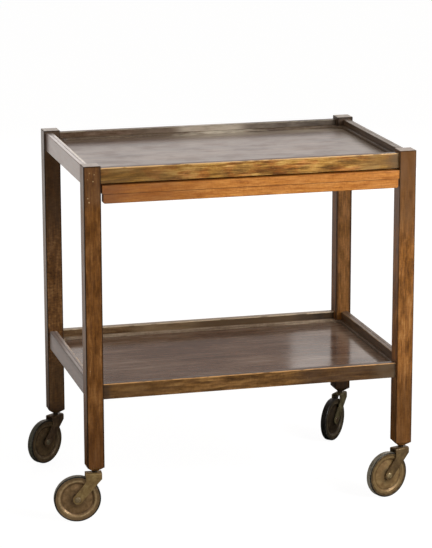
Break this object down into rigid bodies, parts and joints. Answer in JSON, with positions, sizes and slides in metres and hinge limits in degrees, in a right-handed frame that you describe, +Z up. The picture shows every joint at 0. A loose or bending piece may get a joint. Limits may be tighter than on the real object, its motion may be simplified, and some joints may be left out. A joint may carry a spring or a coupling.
{
  "type": "tea trolley",
  "caption": "Wooden tea trolley with square legs, railed upper and lower trays, a pull-out leaf under the top tray and swivel castors.",
  "frame": {"origin": "on the floor, under the middle of the whole outline with the castors as they stand; the middle of the wooden frame is 31.8 mm to +X and 7.3 mm to +Y of it", "axes": "+Z up, +X to the right along the long side, -Y to the front, where the leaf slides out"},
  "size_m": [0.7241, 0.4505, 0.704],
  "materials": {
    "leg_wood": "satin varnish",
    "rail_wood": "satin varnish",
    "tray_plywood": "gloss varnish",
    "bead_wood": "satin varnish",
    "dowel_wood": "plain",
    "leaf_wood": "satin varnish",
    "runner_wood": "plain waxed",
    "screw_steel": "dull",
    "socket_steel": "dull",
    "stem_steel": "dull",
    "hub_steel": "dull",
    "castor_bronze": "worn bronze",
    "tyre_rubber": "matt"
  },
  "bodies": {
    "frame": {"leg_front_left": "leg_wood", "leg_front_right": "leg_wood", "leg_back_left": "leg_wood", "leg_back_right": "leg_wood", "top_rail_front": "rail_wood", "top_rail_back": "rail_wood", "top_rail_left": "rail_wood", "top_rail_right": "rail_wood", "top_panel": "tray_plywood", "top_bead": "bead_wood", "shelf_rail_front": "rail_wood", "shelf_rail_back": "rail_wood", "shelf_rail_left": "rail_wood", "shelf_rail_right": "rail_wood", "shelf_panel": "tray_plywood", "shelf_bead": "bead_wood", "rail_dowels": "dowel_wood", "runner_left": "runner_wood", "runner_right": "runner_wood", "runner_screws": "screw_steel", "socket_front_left": "socket_steel", "socket_front_right": "socket_steel", "socket_back_left": "socket_steel", "socket_back_right": "socket_steel"},
    "leaf": {"leaf_board": "leaf_wood", "leaf_lip": "leaf_wood", "leaf_stops": "runner_wood", "stop_screws": "screw_steel"},
    "castor_front_left": {"fork_front_left": "castor_bronze", "stem_front_left": "stem_steel", "axle_front_left": "castor_bronze"},
    "wheel_front_left": {"wheel_discs_front_left": "castor_bronze", "hub_front_left": "hub_steel", "tyre_front_left": "tyre_rubber"},
    "castor_front_right": {"fork_front_right": "castor_bronze", "stem_front_right": "stem_steel", "axle_front_right": "castor_bronze"},
    "wheel_front_right": {"wheel_discs_front_right": "castor_bronze", "hub_front_right": "hub_steel", "tyre_front_right": "tyre_rubber"},
    "castor_back_left": {"fork_back_left": "castor_bronze", "stem_back_left": "stem_steel", "axle_back_left": "castor_bronze"},
    "wheel_back_left": {"wheel_discs_back_left": "castor_bronze", "hub_back_left": "hub_steel", "tyre_back_left": "tyre_rubber"},
    "castor_back_right": {"fork_back_right": "castor_bronze", "stem_back_right": "stem_steel", "axle_back_right": "castor_bronze"},
    "wheel_back_right": {"wheel_discs_back_right": "castor_bronze", "hub_back_right": "hub_steel", "tyre_back_right": "tyre_rubber"}
  },
  "joints": [
    {"name": "leaf_slide", "type": "slide", "parent": "frame", "child": "leaf", "axis": [0, -1, 0], "range_m": [0, 0.3]},
    {"name": "swivel_front_left", "type": "hinge", "parent": "frame", "child": "castor_front_left", "pos_m": [-0.28145, -0.19345, 0.098], "axis": [0, 0, 1], "continuous": true},
    {"name": "spin_front_left", "type": "hinge", "parent": "castor_front_left", "child": "wheel_front_left", "pos_m": [-0.31579, -0.19014, 0.046], "axis": [-0.0958, -0.9954, 0], "continuous": true},
    {"name": "swivel_front_right", "type": "hinge", "parent": "frame", "child": "castor_front_right", "pos_m": [0.34505, -0.19345, 0.098], "axis": [0, 0, 1], "continuous": true},
    {"name": "spin_front_right", "type": "hinge", "parent": "castor_front_right", "child": "wheel_front_right", "pos_m": [0.31243, -0.20468, 0.046], "axis": [0.3256, -0.9455, 0], "continuous": true},
    {"name": "swivel_back_left", "type": "hinge", "parent": "frame", "child": "castor_back_left", "pos_m": [-0.28145, 0.20805, 0.098], "axis": [0, 0, 1], "continuous": true},
    {"name": "spin_back_left", "type": "hinge", "parent": "castor_back_left", "child": "wheel_back_left", "pos_m": [-0.30936, 0.18777, 0.046], "axis": [0.5878, -0.809, 0], "continuous": true},
    {"name": "swivel_back_right", "type": "hinge", "parent": "frame", "child": "castor_back_right", "pos_m": [0.34505, 0.20805, 0.098], "axis": [0, 0, 1], "continuous": true},
    {"name": "spin_back_right", "type": "hinge", "parent": "castor_back_right", "child": "wheel_back_right", "pos_m": [0.32108, 0.18323, 0.046], "axis": [0.7193, -0.6947, 0], "continuous": true}
  ]
}
